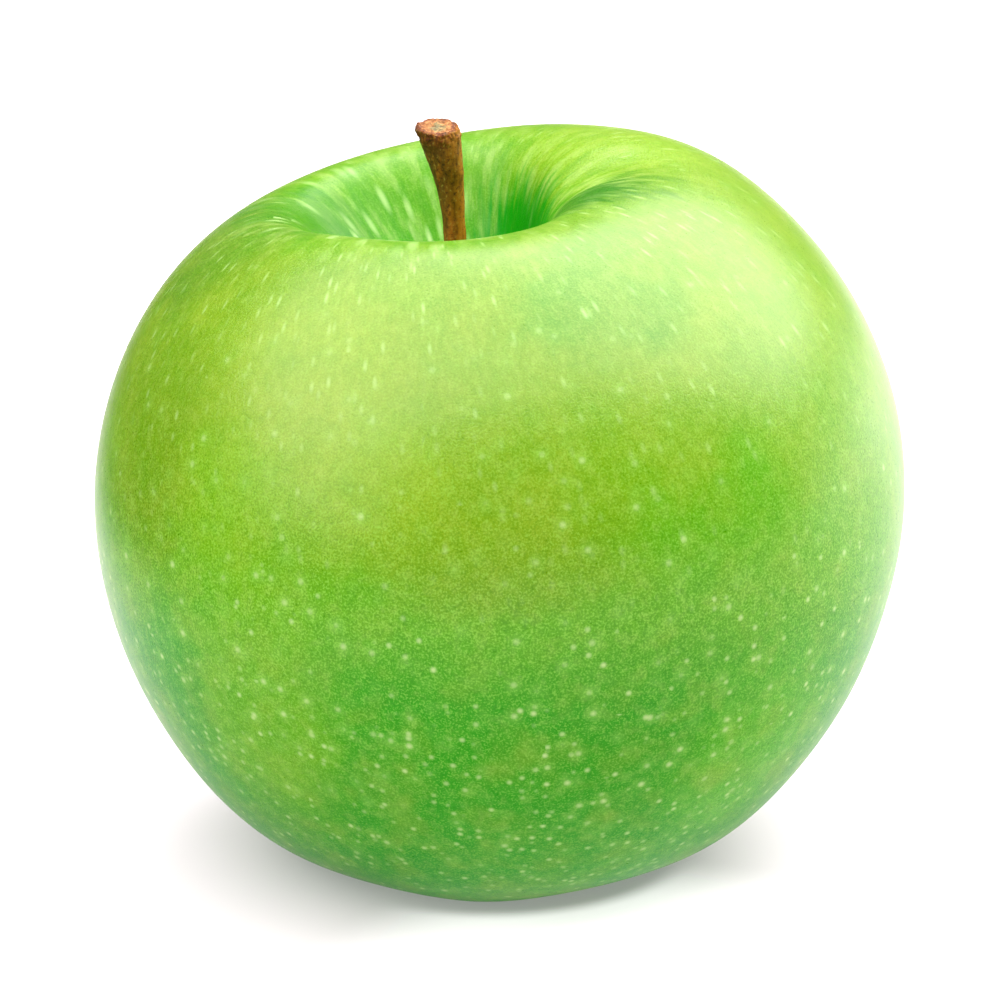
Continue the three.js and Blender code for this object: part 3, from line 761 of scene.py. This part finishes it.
def dried_leaf():
    """Sepals dried to brittle, dull brown: greyed by down, darker at the rolled tips, greener at the base."""
    wander_size, wander_height = 1.5 * mm, 3 * mm  # of the uneven edges between its colours
    tip_height, base_height = 3 * mm, 8.5 * mm  # with the wander added
    down_size = 0.35 * mm  # coarser than the hairs, so that it shows

    material = bpy.data.materials.new("dried_leaf")
    material.use_nodes = True
    tree = material.node_tree
    surface = tree.nodes["Principled BSDF"]
    place = add_node(tree, "ShaderNodeTexCoord").outputs["Object"]
    height = add_node(tree, "ShaderNodeSeparateXYZ", {0: place}).outputs["Z"]
    wander = add_node(tree, "ShaderNodeTexNoise",
                      {"Vector": place, "Scale": 1 / wander_size, "Detail": 3.0}).outputs[0]
    wandered = add_node(tree, "ShaderNodeMath", {0: wander, 1: wander_height, 2: height},
                        operation="MULTIPLY_ADD").outputs[0]
    up = add_node(tree, "ShaderNodeMapRange", {0: wandered, 1: tip_height, 2: base_height}).outputs[0]
    browns = add_node(tree, "ShaderNodeValToRGB", {0: up})
    tip_stop, base_stop = browns.color_ramp.elements
    tip_stop.position = 0.1
    tip_stop.color = linear("#3E2A18")
    base_stop.position = 0.9
    base_stop.color = linear("#5E6030")
    browns.color_ramp.elements.new(0.45).color = linear("#6A5434")
    colour = browns.outputs[0]

    # grey down over dark creases
    down = add_node(tree, "ShaderNodeTexNoise",
                    {"Vector": place, "Scale": 1 / down_size, "Detail": 4.0}).outputs[0]
    colour = lay_over(tree, colour, "#A39A80", down, 0.50, 0.66, 0.7)
    colour = lay_over(tree, colour, "#2A1C10", down, 0.46, 0.32, 0.6)
    bump = add_node(tree, "ShaderNodeBump",
                    {"Height": down, "Strength": 0.6, "Distance": 0.15 * mm}).outputs[0]
    tree.links.new(colour, surface.inputs["Base Color"])
    tree.links.new(bump, surface.inputs["Normal"])
    surface.inputs["Roughness"].default_value = 0.85
    surface.inputs["IOR"].default_value = 1.45
    return material


calyx.data.materials.clear()
calyx.data.materials.append(dried_leaf())
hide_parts("calyx_sepals")
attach(calyx, "root")


# ---------------------------------------------------------------------------------------------
# Stamens: a tuft of dried threads, each with a shrunken anther at its end, where the style has
# dropped off. They stand on the disc that closes the calyx tube.
# ---------------------------------------------------------------------------------------------

stamen_count = 14
stamen_sides = 8
stamen_ring = 1.45 * mm
stamen_rings = [  # height above the lowest point of the tuft, radius, drift outward; all in mm
    (4.6, 0.20, 0.00),
    (3.4, 0.16, -0.10),
    (2.2, 0.15, -0.05),
    (1.0, 0.17, 0.15),
    (0.5, 0.34, 0.25),
    (0.0, 0.22, 0.30),
]
stamen_stretch = (0.75, 1.0)  # least and most of the random draw for each stamen
stamen_lean_out = (-0.22, 0.10)  # radians, the same
stamen_lean_aside = (-0.15, 0.15)
stamen_stray = (-0.2, 0.2)  # the same, as a share of the step round the ring
disc_sides = 32
disc_radius = 2.1 * mm
disc_thickness = 0.8 * mm
disc_dish = 0.25 * mm
looks_down = -0.9  # a face whose normal is lower than this looks down

tuft_foot = calyx_low.z
bpy.ops.object.select_all(action="DESELECT")
height, thickness, drift = (value * mm for value in stamen_rings[0])
bpy.ops.mesh.primitive_circle_add(
    vertices=stamen_sides,
    radius=thickness,
    fill_type="NGON",
    location=(0, stamen_ring + drift, tuft_foot + height),
)
stamen = bpy.context.object
stamen.name = "dried_stamen"
bpy.ops.object.transform_apply(location=True, rotation=True, scale=True)
bpy.ops.object.mode_set(mode="EDIT")
bpy.ops.mesh.select_all(action="SELECT")
for upper, lower in zip(stamen_rings, stamen_rings[1:]):
    step = (0, (lower[2] - upper[2]) * mm, (lower[0] - upper[0]) * mm)
    bpy.ops.mesh.extrude_region_move(TRANSFORM_OT_translate={"value": step})
    middle = (0, stamen_ring + lower[2] * mm, tuft_foot + lower[0] * mm)
    growth = lower[1] / upper[1]
    bpy.ops.transform.resize(value=(growth, growth, 1), center_override=middle)
bpy.ops.mesh.select_all(action="SELECT")
bpy.ops.mesh.normals_make_consistent(inside=False)
bpy.ops.object.mode_set(mode="OBJECT")
subdivide_smoothly(stamen, 1)

bpy.ops.mesh.primitive_cylinder_add(
    vertices=disc_sides,
    radius=disc_radius,
    depth=disc_thickness,
    location=(0, 0, calyx_high.z - disc_thickness / 2),
)
disc = bpy.context.object
disc.name = "calyx_disc"
bpy.ops.object.transform_apply(location=True, rotation=True, scale=True)
# Known fault: the corners and edges are still selected here, so edit mode selects the whole disc and the
# insets leave it plain, without its dish and the stub of the style.
for face in disc.data.polygons:
    face.select = face.normal.z < looks_down
bpy.ops.object.mode_set(mode="EDIT")
bpy.ops.mesh.select_mode(type="FACE")
bpy.ops.mesh.inset(thickness=disc_radius / 2, depth=-disc_dish)
bpy.ops.mesh.inset(thickness=disc_radius / 4, depth=2 * disc_dish)
bpy.ops.object.mode_set(mode="OBJECT")
subdivide_smoothly(disc, 1)

tuft = [disc]
for number in range(stamen_count):
    twin = bpy.data.objects.new("dried_stamen", stamen.data.copy())
    bpy.context.collection.objects.link(twin)
    bpy.ops.object.select_all(action="DESELECT")
    twin.select_set(True)
    bpy.context.view_layer.objects.active = twin
    bpy.ops.object.mode_set(mode="EDIT")
    bpy.ops.mesh.select_all(action="SELECT")
    stretch = random.uniform(*stamen_stretch)
    lean_out = random.uniform(*stamen_lean_out)
    lean_aside = random.uniform(*stamen_lean_aside)
    turn = math.tau * (number + random.uniform(*stamen_stray)) / stamen_count
    stand = (0, stamen_ring, calyx_high.z)
    bpy.ops.transform.resize(value=(1, 1, stretch), center_override=stand)
    bpy.ops.transform.rotate(value=lean_out, orient_axis="X", center_override=stand)
    bpy.ops.transform.rotate(value=lean_aside, orient_axis="Y", center_override=stand)
    bpy.ops.transform.rotate(value=turn, orient_axis="Z", center_override=(0, 0, 0))
    bpy.ops.object.mode_set(mode="OBJECT")
    tuft.append(twin)
bpy.data.objects.remove(stamen)
bpy.ops.object.select_all(action="DESELECT")
for piece in tuft:
    piece.select_set(True)
bpy.context.view_layer.objects.active = disc
bpy.ops.object.join()
stamens = bpy.context.object
stamens.name = "dried_stamens"
bpy.ops.object.mode_set(mode="EDIT")
bpy.ops.mesh.select_all(action="SELECT")
bpy.ops.transform.translate(value=calyx_axis)
bpy.ops.object.mode_set(mode="OBJECT")
bpy.ops.object.shade_smooth()


def dried_thread():
    """Threads dried to dark brown, matt, with ochre pollen dust towards the anthers."""
    dust_size = 0.4 * mm  # coarser than the grains, so that it shows
    bare_height, dusty_height = 9.5 * mm, 7.5 * mm

    material = bpy.data.materials.new("dried_thread")
    material.use_nodes = True
    tree = material.node_tree
    surface = tree.nodes["Principled BSDF"]
    place = add_node(tree, "ShaderNodeTexCoord").outputs["Object"]
    dust = add_node(tree, "ShaderNodeTexNoise",
                    {"Vector": place, "Scale": 1 / dust_size, "Detail": 3.0}).outputs[0]
    height = add_node(tree, "ShaderNodeSeparateXYZ", {0: place}).outputs["Z"]
    low = add_node(tree, "ShaderNodeMapRange", {0: height, 1: bare_height, 2: dusty_height}).outputs[0]
    dusty = add_node(tree, "ShaderNodeMath", {0: dust, 1: low}, operation="MULTIPLY").outputs[0]
    browns = {0: dust, 6: linear("#2C1C10"), 7: linear("#6A4C2A")}
    colour = add_node(tree, "ShaderNodeMix", browns, data_type="RGBA").outputs[2]
    colour = lay_over(tree, colour, "#9C7A3C", dusty, 0.3, 0.6, 0.8)
    bump = add_node(tree, "ShaderNodeBump",
                    {"Height": dust, "Strength": 0.5, "Distance": 0.1 * mm}).outputs[0]
    tree.links.new(colour, surface.inputs["Base Color"])
    tree.links.new(bump, surface.inputs["Normal"])
    surface.inputs["Roughness"].default_value = 0.8
    surface.inputs["IOR"].default_value = 1.45
    return material


stamens.data.materials.clear()
stamens.data.materials.append(dried_thread())
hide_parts("calyx_stamens")
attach(stamens, "root")
